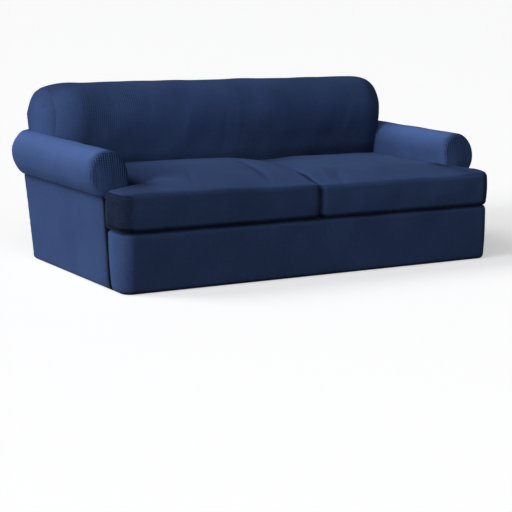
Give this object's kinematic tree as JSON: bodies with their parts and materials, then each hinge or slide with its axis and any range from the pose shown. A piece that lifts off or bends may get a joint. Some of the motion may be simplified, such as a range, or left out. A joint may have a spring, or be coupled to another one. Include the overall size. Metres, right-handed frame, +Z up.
{
  "type": "fitted sofa slipcover",
  "caption": "Fitted stretch-knit slipcover for a rolled-arm sofa, hollow and open below, with separate covers for the T-shaped seat cushions.",
  "frame": {"origin": "on the floor, under the middle of the cover's bounding box", "axes": "+X to the right as seen from the front, -Y to the front of the seat, +Z up"},
  "size_m": [2.214, 1.1922, 0.8665],
  "materials": {
    "body_knit": "matt navy stretch knit with a small broken-rib relief",
    "deck_knit": "the same knit, hidden under the cushions",
    "seat_knit": "the same matt navy stretch knit on the cushion covers"
  },
  "bodies": {
    "root": {"front_rail": "body_knit", "seat_deck": "deck_knit", "inside_back": "body_knit", "outside_back": "body_knit", "side_left": "body_knit", "side_right": "body_knit", "arm_wrap_left": "body_knit", "arm_wrap_right": "body_knit", "arm_front_left": "body_knit", "arm_front_right": "body_knit", "back_end_left": "body_knit", "back_end_right": "body_knit", "seat_top_left": "seat_knit", "seat_top_right": "seat_knit", "seat_band_left": "seat_knit", "seat_band_right": "seat_knit"}
  },
  "joints": []
}
